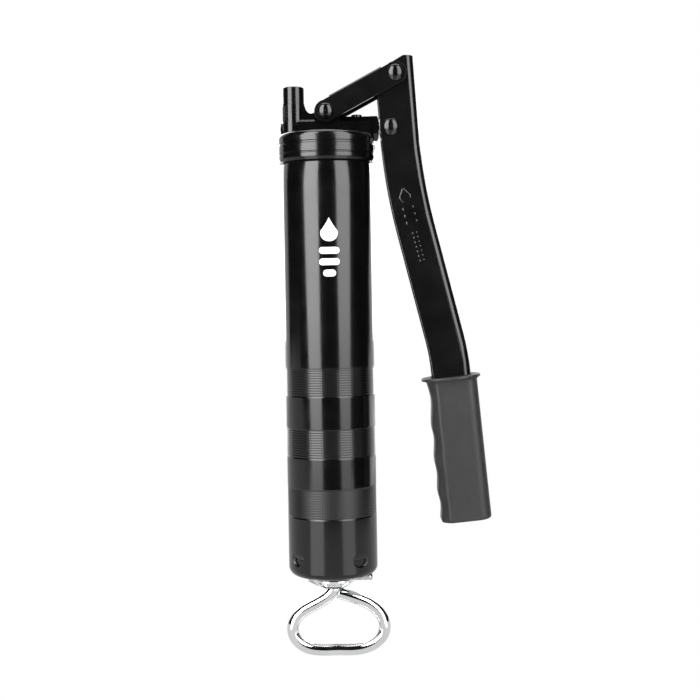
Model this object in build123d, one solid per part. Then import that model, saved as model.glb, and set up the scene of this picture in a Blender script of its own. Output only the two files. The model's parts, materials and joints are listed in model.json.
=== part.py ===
"""Lever grease gun: a barrel, a screw-on pump head with a toggle lever, and a spring-loaded follower.

Frame, in millimetres: +Z along the barrel towards the head, +X towards the lever, -Y towards the
side that the lever's plain face looks at. The origin is on the barrel's axis, in the middle of the
smooth wall between the head's collar and the knurled bands.
"""
from build123d import *
from math import atan2, cos, hypot, radians, sin, sqrt
import os

# ---- driving dimensions -------------------------------------------------------------------
GAP = 0.06                  # radial running clearance of a shaft in its hole

# barrel
BARREL_R = 28.5
BARREL_WALL = 1.5
BARREL_BOTTOM_Z = -198.3
BARREL_TOP_Z = 73.5
BOTTOM_CORNER_R = 5.5
THREAD_R = 28.2             # the plain cylinder that stands for the rolled thread
THREAD_START_Z = 64.6
KNURL_DEPTH = 0.3
KNURL_BANDS = [(-83.0, -65.0), (-121.8, -103.2), (-159.9, -140.7)]
DIMPLE_Z = -186.6
DIMPLE_FIRST_DEG = -51.0    # round the axis, counted from -Y towards +X
DIMPLE_COUNT = 4
DIMPLE_R = 4.6              # inside radius of the ball that presses a dimple
DIMPLE_CENTRE_R = 31.3

# head casting
COLLAR_Z = 65.0
HEAD_TOP_Z = 83.3
COLLAR_R = 30.85
GASKET_THICK = 1.5
CHAMBER_R = 25.5
CHAMBER_TOP_Z = 80.3
BORE_Z = 86.5               # height of the pump bore's axis
BLOCK_START_X = -17.4
BLOCK_HALF_Y = 9.3
BLOCK_TOP_Z = 90.4
BLOCK_END_X = 28.4
PUMP_R = 7.9
PLUNGER_R = 4.2
POST_X = -20.2
POST_R = 7.15
POST_UPPER_R = 6.9
POST_FLATS = 12.9           # across the wrench flats
POST_FLAT_DEG = (30, 150, 210, 330)
POST_SEAT_Z = 91.4
POST_FLATS_TOP_Z = 100.9
POST_STEP_Z = 102.6
POST_TOP_Z = 113.2
SPIGOT_R = 4.9
PORT_R = 4.5
PORT_DEPTH = 12.0
BALL_SEAT_Z = 90.3
BALL_SEAT_R = 2.2
BALL_R = 2.78
BALL_Z = BALL_SEAT_Z + sqrt(BALL_R ** 2 - BALL_SEAT_R ** 2)
CHECK_SPRING_TOP_Z = 98.6
SEAL_X0 = 21.5
SEAL_X1 = 25.0
SEAL_R = 6.0
GLAND_FLATS = 13.9
GLAND_LENGTH = 5.3
PLUG_R = 3.0
PLUG_FACE_X = -26.6
WASHER_THICK = 0.6
EAR_R = 7.2
SADDLE_HALF_Y = 5.6
BOSS_R = 5.4

# toggle linkage, in the X-Z plane
PIVOT_A = (0.2, 96.7)       # link to head
PIVOT_B = (44.6, 120.2)     # link to lever
PIVOT_C = (41.4, BORE_Z)    # lever to plunger
EAR_HALF_Y = 9.5
LINK_EAR_R = 7.0
LINK_PLATE = 2.5
LINK_INNER_HALF_Y = 9.8
SHANK_R = 3.5
PIN_C_R = 3.2
RIVET_RIM = 0.5               # straight edge under each rivet's dome
RIVET_HEADS = {"A": (5.15, 2.6), "B": (5.3, 2.6), "C": (5.5, 2.7)}      # radius and height
EYE_HALF_Y = 5.6
EYE_SLOT_HALF = (4.4, 5.5)
LINK_LENGTH = hypot(PIVOT_B[0] - PIVOT_A[0], PIVOT_B[1] - PIVOT_A[1])
LINK_ANGLE = atan2(PIVOT_B[1] - PIVOT_A[1], PIVOT_B[0] - PIVOT_A[0])
LINK_OUTER_HALF_Y = LINK_INNER_HALF_Y + LINK_PLATE
LINK_WEB_TOP = 7.9
LINK_WEB_ENDS = (6.6, LINK_LENGTH - 6.3)

# lever channel
LEVER_HALF_Y = 9.5
LEVER_DEPTH = 24.4
LEVER_SHEET = 2.0
LEVER_BEND_R = 5.0
LEVER_BACK = [(55.9, 135.0), (61.0, 55.0), (88.7, -56.6), (96.9, -150.0)]
LEVER_BACK_RADII = [350.0, 150.0]
LEVER_TOP_Z = 131.4

# grip
GRIP_TOP = (77.3, -72.5)
GRIP_TILT_DEG = 5.2
GRIP_LENGTH = 93.0
GRIP_HALF_Y = 12.5
GRIP_BACK_U = 16.3
GRIP_EDGE_U = -10.4
GRIP_NOSE_U = -18.0
GRIP_FRONT = [(0.0, -15.8), (13.8, -13.95), (30.6, -15.45), (38.9, -14.6), (52.4, -15.9), (62.1, -15.05),
              (73.0, -15.95), (82.1, -14.8), (93.0, -15.8)]     # finger waves: down the grip, and u
GRIP_CORNER_R = 7.0
GRIP_FLANGE = (38.2, 33.0)  # along X and Y
GRIP_FLANGE_THICK = 2.0

# follower, rod and handle
ROD_R = 3.75
SPRING_SEAT_Z = -193.6
FOLLOWER_Z = 48.0
FOLLOWER_R = 26.4
ROD_TOP_Z = FOLLOWER_Z + 11.0
ROD_TIP_R = 3.0
ROD_NECK = (0.0, -211.7)
ROD_END = (3.2, -211.6)
COLLAR_RING_Z = FOLLOWER_Z - 2.2
CLIP_GROOVE = 0.9
GUIDE_NECK_R = 6.2
WIPER_R = ROD_R + 2.2
GUIDE_TOP_Z = -200.7
GUIDE_BOTTOM_Z = -207.3
LATCH_TOP_Z = -198.7
LATCH_THICK = 1.6
LATCH_TRAVEL = 2.5
LOOP_LEFT = (-13.4, -235.2, 13.4)      # centre x, centre z and radius of the loop's left end
LOOP_RIGHT = (18.5, -234.6, 14.0)

# fittings on the back of the collar
FITTING_Z = 76.6
FILL_DEG = 138.0            # round the axis, counted from +X towards +Y
BLEED_DEG = 37.0
BOSS_FACE_R = 31.6          # distance of each boss's face from the barrel's axis
SOCKET_FLOOR_R = 27.6
SCREW_END_R = 29.0          # where each fitting's screwed root ends
SOCKET_R = 2.6
BLEED_PIN_R = 1.5

os.makedirs("parts", exist_ok=True)


# ---- helpers ------------------------------------------------------------------------------
def save(shape, node):
    """Write one sub-part to its own STEP file."""
    export_step(shape, f"parts/{node}.step")


def tube(z0, z1, outer, inner=0.0):
    """A ring or disc round the Z axis."""
    body = Pos(0, 0, (z0 + z1) / 2) * Cylinder(outer, z1 - z0)
    if inner:
        body -= Pos(0, 0, (z0 + z1) / 2) * Cylinder(inner, z1 - z0 + 2)
    return body


def along_x(x0, x1, radius, z):
    """A cylinder whose axis lies along X at height z."""
    return Pos((x0 + x1) / 2, 0, z) * Rot(0, 90, 0) * Cylinder(radius, x1 - x0)


def along_y(x, z, half, radius):
    """A cylinder through the X-Z plane, reaching half to each side of it."""
    return Pos(x, 0, z) * Rot(90, 0, 0) * Cylinder(radius, 2 * half)


def block(x0, x1, y0, y1, z0, z1):
    """A box given by its corners."""
    return Pos((x0 + x1) / 2, (y0 + y1) / 2, (z0 + z1) / 2) * Box(x1 - x0, y1 - y0, z1 - z0)


def slab(points, half_y):
    """An outline in the X-Z plane, thickened to half_y on each side."""
    face = make_face(Polyline(*points, close=True))
    return extrude(Plane.XZ * face, amount=half_y, both=True)


def turned(points):
    """A closed outline of (radius, z) points, turned round the Z axis."""
    face = make_face(Polyline(*points, close=True))
    return revolve(Plane.XZ * face, axis=Axis.Z)


def hexagon(length, flats, chamfer_depth=0.0):
    """A hexagonal bar on the Z axis from z 0 to length, its far end turned to a cone."""
    bar = extrude(RegularPolygon(flats / 2, 6, major_radius=False), amount=length)
    if chamfer_depth:
        corner = flats / sqrt(3)
        reach = chamfer_depth / 0.5
        cone = turned([(0, 0), (corner, 0), (corner, length - chamfer_depth),
                       (corner - reach, length), (0, length)])
        bar &= cone
    return bar


def rivet(centre, half_length, shank_r, head_r, head_height):
    """A domed rivet through the X-Z plane; half_length is where each head starts."""
    top = half_length + head_height
    rim = half_length + RIVET_RIM
    head_height -= RIVET_RIM
    ball_r = (head_r ** 2 + head_height ** 2) / (2 * head_height)
    half_angle = atan2(head_r, ball_r - head_height) / 2
    middle = (ball_r * sin(half_angle), top - ball_r + ball_r * cos(half_angle))
    half = Line((0, 0), (0, top)) + ThreePointArc((0, top), middle, (head_r, rim))
    half += Line((head_r, rim), (head_r, half_length)) + Line((head_r, half_length), (shank_r, half_length))
    half += Line((shank_r, half_length), (shank_r, 0)) + Line((shank_r, 0), (0, 0))
    side = revolve(make_face(half), axis=Axis.Y)
    body = side + mirror(side, about=Plane.XZ)
    return Pos(centre[0], 0, centre[1]) * body


def in_plane(x, z):
    """A point of the X-Z plane."""
    return (x, 0, z)


def radial(angle_deg, z):
    """A place on the Z axis whose own +Z points outwards at this angle round the barrel."""
    return Pos(0, 0, z) * Rot(0, 0, angle_deg) * Rot(0, 90, 0)


# ---- barrel and what is fixed to it -------------------------------------------------------
def barrel_tube():
    """Drawn steel tube with a rounded bottom, a rolled upper end, knurled bands and four dimples."""
    inner_r = BARREL_R - BARREL_WALL
    body = tube(BARREL_BOTTOM_Z, BARREL_TOP_Z, BARREL_R)
    body = fillet(body.edges().group_by(Axis.Z)[0], BOTTOM_CORNER_R)
    hollow = tube(BARREL_BOTTOM_Z + BARREL_WALL, BARREL_TOP_Z + 1, inner_r)
    hollow = fillet(hollow.edges().group_by(Axis.Z)[0], BOTTOM_CORNER_R - BARREL_WALL)
    body -= hollow
    body -= tube(BARREL_BOTTOM_Z - 1, BARREL_BOTTOM_Z + 5, GUIDE_NECK_R)
    body -= tube(THREAD_START_Z, BARREL_TOP_Z + 1, BARREL_R + 1, THREAD_R)
    for low, high in KNURL_BANDS:
        body -= tube(low, high, BARREL_R + 1, BARREL_R - KNURL_DEPTH)
    for i in range(DIMPLE_COUNT):
        angle = DIMPLE_FIRST_DEG + 360 / DIMPLE_COUNT * i - 90
        place = Pos(0, 0, DIMPLE_Z) * Rot(0, 0, angle) * Pos(DIMPLE_CENTRE_R, 0, 0)
        bump = place * Sphere(DIMPLE_R + BARREL_WALL)
        body += bump & tube(DIMPLE_Z - 9, DIMPLE_Z + 9, BARREL_R - BARREL_WALL / 2)
        body -= place * Sphere(DIMPLE_R)
    return body


def spring_seat():
    """Pressed plate inside the barrel's bottom; the four dimples stand just above its rim."""
    rim_r = BARREL_R - BARREL_WALL - 1.6
    low = BARREL_BOTTOM_Z + BARREL_WALL
    body = tube(low, SPRING_SEAT_Z, rim_r - 3, ROD_R + 4.6)
    return body + tube(SPRING_SEAT_Z - 1.6, SPRING_SEAT_Z, rim_r, ROD_R + 4.6)


def rod_guide():
    """Plated bell under the barrel that guides the rod, its neck held in the barrel's bottom."""
    bell = turned([(0, GUIDE_TOP_Z), (13.4, GUIDE_TOP_Z), (14.0, GUIDE_TOP_Z - 0.6),
                   (14.0, GUIDE_TOP_Z - 1.6), (12.6, GUIDE_TOP_Z - 3.2), (8.6, GUIDE_BOTTOM_Z + 0.5),
                   (7.6, GUIDE_BOTTOM_Z), (0, GUIDE_BOTTOM_Z)])
    floor_top = BARREL_BOTTOM_Z + BARREL_WALL
    body = bell + tube(GUIDE_TOP_Z - 1, floor_top + 1.6, GUIDE_NECK_R)
    body += tube(floor_top, floor_top + 1.6, ROD_R + 4.4)
    body -= tube(GUIDE_BOTTOM_Z - 1, floor_top + 5, ROD_R + GAP)
    body -= tube(GUIDE_BOTTOM_Z + 1.6, GUIDE_BOTTOM_Z + 4.4, WIPER_R)
    body -= block(-9, 0, -2.4, 2.4, LATCH_TOP_Z - LATCH_THICK - 0.3, LATCH_TOP_Z + 0.3)
    return body


def rod_seal():
    """Wiper ring in the bell's inner groove."""
    return tube(GUIDE_BOTTOM_Z + 1.6, GUIDE_BOTTOM_Z + 4.4, WIPER_R, ROD_R + GAP)


def follower_spring():
    """Outer shape of the long coil spring, from its seat to the follower."""
    return tube(SPRING_SEAT_Z, FOLLOWER_Z, 23.0, 20.4)


def rod_latch_plate():
    """Sliding latch: a slotted plate under the barrel with a thumb tab and a bent rear edge."""
    low = LATCH_TOP_Z - LATCH_THICK
    body = block(-17.0, 25.2, -9.0, 10.8, low, LATCH_TOP_Z)
    body = fillet(body.edges().filter_by(Axis.Z), 2.5)
    slot = block(-7.4, 9.6, -GUIDE_NECK_R - 0.4, GUIDE_NECK_R + 0.4, low - 1, LATCH_TOP_Z + 1)
    tongue = block(-8.0, -ROD_R - 0.3, -2.0, 2.0, low, LATCH_TOP_Z)
    body = body - slot + tongue
    rear_outer = 12.6 + LATCH_THICK
    body += block(-14.5, 22.7, 10.0, rear_outer, low, LATCH_TOP_Z)
    half = LATCH_THICK / 2
    for outline in ([(-16.8, LATCH_TOP_Z), (-16.8, -206.9), (-10.2, -210.2), (-10.2, LATCH_TOP_Z)],
                    [(11.8, LATCH_TOP_Z), (11.8, -206.6), (25.2, -206.6), (25.2, LATCH_TOP_Z)]):
        body += Pos(0, rear_outer - half, 0) * slab(outline, half)
    return body


# ---- follower and rod ---------------------------------------------------------------------
def follower_cup():
    """Rubber cup that wipes the barrel's wall, open towards the head."""
    z = FOLLOWER_Z + 2
    rim = FOLLOWER_R
    return turned([(ROD_R + 0.4, z), (rim - 1.4, z), (rim - 0.5, z + 1), (rim, z + 11), (rim - 1.2, z + 12),
                   (rim - 3.0, z + 4), (rim - 4.0, z + 2.6), (ROD_R + 0.4, z + 2.6)])


def follower_plate():
    """Pressed steel plate under the cup, where the spring pushes."""
    z = FOLLOWER_Z
    return tube(z, z + 2, 24.4, ROD_R + GAP) - tube(z - 1, z + 0.6, 17.0, ROD_R + 6)


def follower_washer():
    """Steel disc that clamps the cup to its plate."""
    return tube(FOLLOWER_Z + 4.6, FOLLOWER_Z + 6.0, 18.0, ROD_R + GAP)


def loop_tangent(circle, through, side):
    """The point where a line through a given point touches a circle (x, z, r); side picks which."""
    dx = through[0] - circle[0]
    dz = through[1] - circle[1]
    reach = hypot(dx, dz)
    swing = side * radians(90) - side * atan2(circle[2], sqrt(reach ** 2 - circle[2] ** 2))
    angle = atan2(dz, dx) + swing
    return (circle[0] + circle[2] * cos(angle), circle[1] + circle[2] * sin(angle))


def follower_rod():
    """Plated rod whose lower end is bent into a closed pull loop."""
    lx, lz, lr = LOOP_LEFT
    rx, rz, rr = LOOP_RIGHT
    mid_deg = radians(8)        # how far below each end's centre its arc is widest
    neck = in_plane(*ROD_NECK)
    end = in_plane(*ROD_END)
    left_top = in_plane(*loop_tangent(LOOP_LEFT, ROD_NECK, 1))
    right_top = in_plane(*loop_tangent(LOOP_RIGHT, ROD_END, -1))
    left_mid = in_plane(lx - lr * cos(mid_deg), lz - lr * sin(mid_deg))
    right_mid = in_plane(rx + rr * cos(mid_deg), rz - rr * sin(mid_deg))
    bottom_left = in_plane(lx, lz - lr)
    bottom_right = in_plane(rx, rz - rr)
    runs = [FilletPolyline(in_plane(0, ROD_TOP_Z), neck, left_top, radius=7.0),
            ThreePointArc(left_top, left_mid, bottom_left),
            Line(bottom_left, bottom_right),
            ThreePointArc(bottom_right, right_mid, right_top),
            Line(right_top, end)]
    body = Part()
    for run in runs:
        section = Plane(origin=run @ 0, z_dir=run % 0) * Circle(ROD_R)
        body += sweep(section, path=run)
    for corner in (left_top, bottom_left, bottom_right, right_top):
        body += Pos(*corner) * Sphere(ROD_R)
    # turned-down tip for the nut, and the notch that the latch drops into when the rod is drawn out
    body -= tube(FOLLOWER_Z + 6.0, ROD_TOP_Z + 1, ROD_R + 1, ROD_TIP_R)
    body -= tube(COLLAR_RING_Z, FOLLOWER_Z - 0.2, ROD_R + 1, ROD_R - CLIP_GROOVE)
    body -= block(-ROD_R - 1, -ROD_R + 1.2, -ROD_R, ROD_R, 14.0, 17.0)
    return body


def rod_tip_nut():
    """Nut that holds the follower on the rod."""
    nut = Pos(0, 0, FOLLOWER_Z + 6.1) * hexagon(4.5, 10.0, 0.6)
    return nut - tube(FOLLOWER_Z + 5, ROD_TOP_Z + 1, ROD_TIP_R)


def rod_clip():
    """Retaining ring in the rod's groove, under the follower plate."""
    return tube(COLLAR_RING_Z, FOLLOWER_Z - 0.2, ROD_R + 2.2, ROD_R - CLIP_GROOVE)


# ---- head ---------------------------------------------------------------------------------
def head_gasket():
    """Flat ring between the barrel's end and the head."""
    return tube(BARREL_TOP_Z, BARREL_TOP_Z + GASKET_THICK, THREAD_R, CHAMBER_R)


def collar():
    """Cup of the head: the threaded skirt with its turned bands, and the closed top."""
    seat = BARREL_TOP_Z + GASKET_THICK
    inner = THREAD_R + GAP
    shoulder_r = 3.5
    outline = [(inner, COLLAR_Z), (COLLAR_R - 0.9, COLLAR_Z), (COLLAR_R - 0.1, 66.6), (COLLAR_R, 67.0),
               (COLLAR_R, 69.2), (COLLAR_R - 0.45, 69.6), (COLLAR_R - 0.45, 70.0), (COLLAR_R, 70.4),
               (COLLAR_R, 75.3), (COLLAR_R - 0.6, 75.7), (COLLAR_R - 0.6, 76.6), (COLLAR_R - 0.05, 77.0),
               (COLLAR_R - 0.05, HEAD_TOP_Z), (0, HEAD_TOP_Z), (0, CHAMBER_TOP_Z),
               (CHAMBER_R - 3, CHAMBER_TOP_Z), (CHAMBER_R, CHAMBER_TOP_Z - 3), (CHAMBER_R, seat),
               (inner, seat)]
    body = turned(outline)
    return fillet(body.edges().group_by(Axis.Z)[-1], shoulder_r)


def pump_head():
    """Cast head: collar, pump block, pivot ear, post seat, and the bosses of the two fittings."""
    body = collar()
    base_z = HEAD_TOP_Z - 1.5
    body += block(BLOCK_START_X, BLOCK_END_X, -BLOCK_HALF_Y, BLOCK_HALF_Y, base_z, BLOCK_TOP_Z)
    body += along_x(POST_X, BLOCK_END_X, PUMP_R, BORE_Z)
    body += Pos(POST_X, 0, (base_z + POST_SEAT_Z) / 2) * Cylinder(POST_R, POST_SEAT_Z - base_z)
    ax, az = PIVOT_A
    foot_z = BLOCK_TOP_Z - 3
    ear = slab([(ax - 7.0, foot_z), (ax - 7.0, az), (ax + 7.0, az), (ax + 10.4, foot_z)], EAR_HALF_Y)
    body += ear + along_y(ax, az, EAR_HALF_Y, EAR_R)
    saddle_top = POST_FLATS_TOP_Z - 0.3
    body += slab([(POST_X, foot_z), (POST_X, saddle_top), (POST_X + POST_R, saddle_top), (-12.3, 98.2),
                  (-10.9, 96.5), (-9.2, 95.9), (-7.6, 96.3), (ax - 5, az + 2), (ax, foot_z)], SADDLE_HALF_Y)
    body += Pos(19.8, 0, 92.0) * Cylinder(3.4, 6.4)
    for angle in (FILL_DEG, BLEED_DEG):
        body += radial(angle, FITTING_Z) * Pos(0, 0, 28.8) * Cylinder(BOSS_R, 5.6)
    # pump bore, its packing seat, the plug's thread and the inlet from the barrel
    body -= along_x(-16.0, BLOCK_END_X + 1, PLUNGER_R + GAP, BORE_Z)
    body -= along_x(SEAL_X0, BLOCK_END_X + 1, SEAL_R, BORE_Z)
    body -= along_x(POST_X - 12, -15.0, PLUG_R, BORE_Z)
    body -= along_x(POST_X - 12, PLUG_FACE_X, 4.6, BORE_Z)
    body -= Pos(12.0, 0, 82) * Cylinder(2.4, 8)
    body -= Pos(POST_X, 0, BORE_Z + 3) * Cylinder(BALL_SEAT_R, 8)
    body -= Pos(POST_X, 0, BALL_SEAT_Z + 15) * Cylinder(SPIGOT_R, 30)
    # the post's own body passes the saddle
    body -= Pos(POST_X, 0, POST_SEAT_Z + 15) * Cylinder(POST_R + 0.02, 30)
    # room for the gland nut beside the collar's shoulder
    body -= along_x(BLOCK_END_X, BLOCK_END_X + 12, 8.5, BORE_Z)
    # barrel space, chamber and the two radial passages
    body -= tube(COLLAR_Z - 1, BARREL_TOP_Z + GASKET_THICK, THREAD_R + GAP)
    body -= tube(BARREL_TOP_Z, CHAMBER_TOP_Z - 3, CHAMBER_R)
    for angle in (FILL_DEG, BLEED_DEG):
        body -= radial(angle, FITTING_Z) * Pos(0, 0, 28.0) * Cylinder(1.4, 12)
        body -= radial(angle, FITTING_Z) * Pos(0, 0, SOCKET_FLOOR_R + 6) * Cylinder(SOCKET_R, 12)
    body -= along_y(ax, az, EAR_HALF_Y + 1, SHANK_R + GAP)
    return body


def outlet_fitting():
    """Outlet body screwed into the head: four wrench flats, check chamber and the threaded port."""
    flats_length = POST_FLATS_TOP_Z - POST_SEAT_Z
    body = tube(POST_SEAT_Z, POST_STEP_Z, POST_R)
    for angle in POST_FLAT_DEG:
        flat = Pos(POST_FLATS / 2 + 3, 0, POST_SEAT_Z + flats_length / 2) * Box(6, 20, flats_length)
        body -= Rot(0, 0, angle) * flat
    body += tube(POST_STEP_Z, POST_TOP_Z, POST_UPPER_R)
    body = chamfer(body.edges().group_by(Axis.Z)[-1], 0.5)
    body += tube(BALL_SEAT_Z, POST_SEAT_Z, SPIGOT_R)
    body -= tube(BALL_SEAT_Z, CHECK_SPRING_TOP_Z, BALL_R + 0.5)
    body -= tube(CHECK_SPRING_TOP_Z - 1, POST_TOP_Z - PORT_DEPTH + 1, 1.7)
    body -= tube(POST_TOP_Z - PORT_DEPTH, POST_TOP_Z, PORT_R)
    return Pos(POST_X, 0, 0) * body


def check_ball():
    """Ball on the outlet seat."""
    return Pos(POST_X, 0, BALL_Z) * Sphere(BALL_R)


def check_spring():
    """Outer shape of the small spring above the ball."""
    low = BALL_Z + BALL_R
    return Pos(POST_X, 0, 0) * tube(low, CHECK_SPRING_TOP_Z, 2.3, 1.7)


def plunger_seal():
    """Packing ring round the plunger."""
    ring = along_x(SEAL_X0, SEAL_X1, SEAL_R, BORE_Z)
    return ring - along_x(SEAL_X0 - 1, SEAL_X1 + 1, PLUNGER_R + GAP, BORE_Z)


def gland_nut():
    """Hexagonal nut that holds the packing and guides the plunger."""
    place = Pos(BLOCK_END_X, 0, BORE_Z) * Rot(0, 90, 0)
    body = place * hexagon(GLAND_LENGTH, GLAND_FLATS, 0.9)
    body += along_x(SEAL_X1, BLOCK_END_X, SEAL_R, BORE_Z)
    return body - along_x(SEAL_X1 - 1, BLOCK_END_X + GLAND_LENGTH + 1, PLUNGER_R + GAP, BORE_Z)


def bore_plug():
    """Screw that closes the far end of the pump bore."""
    head_x = PLUG_FACE_X - WASHER_THICK
    head = Pos(head_x, 0, BORE_Z) * Rot(0, -90, 0) * hexagon(1.6, 7.0, 0.4)
    return head + along_x(head_x, POST_X - BALL_SEAT_R - 0.4, PLUG_R, BORE_Z)


def bore_plug_washer():
    """Soft washer under the plug's head."""
    ring = along_x(PLUG_FACE_X - WASHER_THICK, PLUG_FACE_X, 4.4, BORE_Z)
    return ring - along_x(PLUG_FACE_X - 2, PLUG_FACE_X + 2, PLUG_R, BORE_Z)


def bulk_fill_fitting():
    """Loading nipple on the back of the collar."""
    root = tube(SCREW_END_R, BOSS_FACE_R, SOCKET_R - 0.02)
    body = root + Pos(0, 0, BOSS_FACE_R) * hexagon(3.2, 8.6, 0.5)
    body += tube(BOSS_FACE_R + 3.2, BOSS_FACE_R + 4.8, 2.9)
    body += tube(BOSS_FACE_R + 4.8, BOSS_FACE_R + 6.2, 2.2)
    body += tube(BOSS_FACE_R + 6.2, BOSS_FACE_R + 7.4, 3.0)
    body -= tube(SOCKET_FLOOR_R - 1, BOSS_FACE_R + 9, 0.9)
    return radial(FILL_DEG, FITTING_Z) * body


def bleed_valve_body():
    """Air bleed on the back of the collar."""
    root = tube(SCREW_END_R, BOSS_FACE_R, SOCKET_R - 0.02)
    body = root + tube(BOSS_FACE_R, BOSS_FACE_R + 3.6, 4.2)
    body -= tube(SOCKET_FLOOR_R - 1, BOSS_FACE_R + 9, BLEED_PIN_R + GAP)
    return radial(BLEED_DEG, FITTING_Z) * body


def bleed_pin():
    """Pin that is pressed to let air out."""
    body = tube(SCREW_END_R, BOSS_FACE_R + 5.4, BLEED_PIN_R)
    body += tube(BOSS_FACE_R + 5.3, BOSS_FACE_R + 6.5, 2.5)
    return radial(BLEED_DEG, FITTING_Z) * body


# ---- linkage ------------------------------------------------------------------------------
def toggle_link():
    """Pressed link: two plates joined by a web along their upper edge."""
    along = (cos(LINK_ANGLE), 0, sin(LINK_ANGLE))
    frame = Plane(origin=in_plane(*PIVOT_A), x_dir=along, z_dir=(0, -1, 0))
    start, end = LINK_WEB_ENDS
    plate = Rectangle(LINK_LENGTH, 2 * LINK_EAR_R - 0.4, align=(Align.MIN, Align.CENTER))
    plate += Circle(LINK_EAR_R) + Pos(LINK_LENGTH, 0) * Circle(LINK_EAR_R)
    web = Pos(start, 0) * Rectangle(end - start, LINK_WEB_TOP, align=(Align.MIN, Align.MIN))
    top = extrude(frame * web, amount=LINK_OUTER_HALF_Y, both=True)
    crest = [e for e in top.edges() if e.length > end - start - 0.1]
    crest.sort(key=lambda e: frame.to_local_coords(e.center()).Y)
    top = fillet(crest[-2:], 2.6)
    body = extrude(frame * plate, amount=LINK_OUTER_HALF_Y, both=True) + top
    under_top = LINK_WEB_TOP - LINK_PLATE
    for x0, x1, y1 in ((-10, LINK_LENGTH + 10, under_top), (-10, start, 12), (end, LINK_LENGTH + 10, 12)):
        gap = Pos(x0, -12) * Rectangle(x1 - x0, y1 + 12, align=(Align.MIN, Align.MIN))
        body -= extrude(frame * gap, amount=LINK_INNER_HALF_Y, both=True)
    for x, z in (PIVOT_A, PIVOT_B):
        body -= along_y(x, z, LINK_OUTER_HALF_Y + 1, SHANK_R)
    return body


def link_head_rivet():
    """Pivot of the link on the head."""
    return rivet(PIVOT_A, LINK_OUTER_HALF_Y, SHANK_R, *RIVET_HEADS["A"])


def link_lever_rivet():
    """Pivot of the lever on the link."""
    return rivet(PIVOT_B, LINK_OUTER_HALF_Y, SHANK_R, *RIVET_HEADS["B"])


def plunger_rivet():
    """Pin of the plunger's eye, held by the lever."""
    return rivet(PIVOT_C, LEVER_HALF_Y, PIN_C_R, *RIVET_HEADS["C"])


def channel_section(depth, half_y, bend_r):
    """A rectangle behind the lever's back line, its two back corners rounded."""
    face = Pos(-depth, 0) * Rectangle(depth, 2 * half_y, align=(Align.MIN, Align.CENTER))
    return fillet(face.vertices().group_by(Axis.X)[-1], bend_r)


def channel(hollow):
    """The lever's channel swept along its back, or the solid bar that fills the channel."""
    path = FilletPolyline(*[in_plane(x, z) for x, z in LEVER_BACK], radius=LEVER_BACK_RADII)
    tangent = path % 0
    place = Plane(origin=path @ 0, x_dir=(-tangent.Z, 0, tangent.X), z_dir=tangent)
    section = channel_section(LEVER_DEPTH, LEVER_HALF_Y, LEVER_BEND_R)
    if hollow:
        inner = channel_section(LEVER_DEPTH + 5, LEVER_HALF_Y - LEVER_SHEET, LEVER_BEND_R - LEVER_SHEET)
        section -= Pos(-LEVER_SHEET, 0) * inner
    return sweep(place * section, path=path)


def lever():
    """Pressed channel lever, its top cut back round the link's pivot."""
    body = channel(hollow=True)
    above = [(10, 170), (80, 170), (80, LEVER_TOP_Z), (49.6, LEVER_TOP_Z), (39.9, 125.7), (37.6, 123.1),
             (36.7, 120.7), (33.0, 117.1), (32.4, 111.1), (10, 111.1)]
    body -= slab(above, LEVER_HALF_Y + 5)
    body -= along_y(PIVOT_B[0], PIVOT_B[1], LEVER_HALF_Y + 1, SHANK_R + GAP)
    body -= along_y(PIVOT_C[0], PIVOT_C[1], LEVER_HALF_Y + 1, PIN_C_R)
    return body


def plunger_rod():
    """Pump plunger with the slotted eye that the lever's pin works in."""
    x, z = PIVOT_C
    body = along_x(-12.0, x, PLUNGER_R, z)
    body += slab([(x - 7.2, z - 6.0), (x - 4.2, z - 9.0), (x + 4.2, z - 9.0), (x + 7.4, z - 5.8),
                  (x + 7.4, z + 5.8), (x + 4.2, z + 9.0), (x - 4.2, z + 9.0), (x - 7.2, z + 6.0)], EYE_HALF_Y)
    half_x, half_z = EYE_SLOT_HALF
    slot = make_face(Polyline((x - half_x, z - half_z), (x + half_x, z - half_z), (x + half_x, z + half_z),
                              (x - half_x, z + half_z), close=True))
    slot = fillet(slot.vertices(), half_x - 0.6)
    body -= extrude(Plane.XZ * slot, amount=8, both=True)
    return body


# ---- grip ---------------------------------------------------------------------------------
def grip_frame():
    """The grip's own plane: local x to its back, local y up its length."""
    tilt = radians(GRIP_TILT_DEG)
    return Plane(origin=(GRIP_TOP[0], 0, GRIP_TOP[1]), x_dir=(cos(tilt), 0, sin(tilt)), z_dir=(0, -1, 0))


def lever_grip():
    """Moulded sleeve over the lever's tail, with a flange, finger waves and a closed end."""
    frame = grip_frame()
    front = Spline(*[(u, -down) for down, u in GRIP_FRONT])
    rest = Polyline((GRIP_FRONT[-1][1], -GRIP_LENGTH), (GRIP_BACK_U, -GRIP_LENGTH), (GRIP_BACK_U, 0),
                    (GRIP_FRONT[0][1], 0))
    side = extrude(frame * make_face(front + rest), amount=GRIP_HALF_Y, both=True)
    section = make_face(Polyline((GRIP_NOSE_U, -6.0), (GRIP_EDGE_U, -GRIP_HALF_Y),
                                 (GRIP_BACK_U, -GRIP_HALF_Y), (GRIP_BACK_U, GRIP_HALF_Y),
                                 (GRIP_EDGE_U, GRIP_HALF_Y), (GRIP_NOSE_U, 6.0), close=True))
    section = fillet(section.vertices().group_by(Axis.X)[-1], GRIP_CORNER_R)
    top = Plane(origin=frame.origin, x_dir=frame.x_dir, z_dir=frame.y_dir)
    bar = extrude(top * section, amount=-GRIP_LENGTH)
    body = side & bar
    body += extrude(top * SlotOverall(*GRIP_FLANGE), amount=-GRIP_FLANGE_THICK)
    return body - channel(hollow=False)


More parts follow.
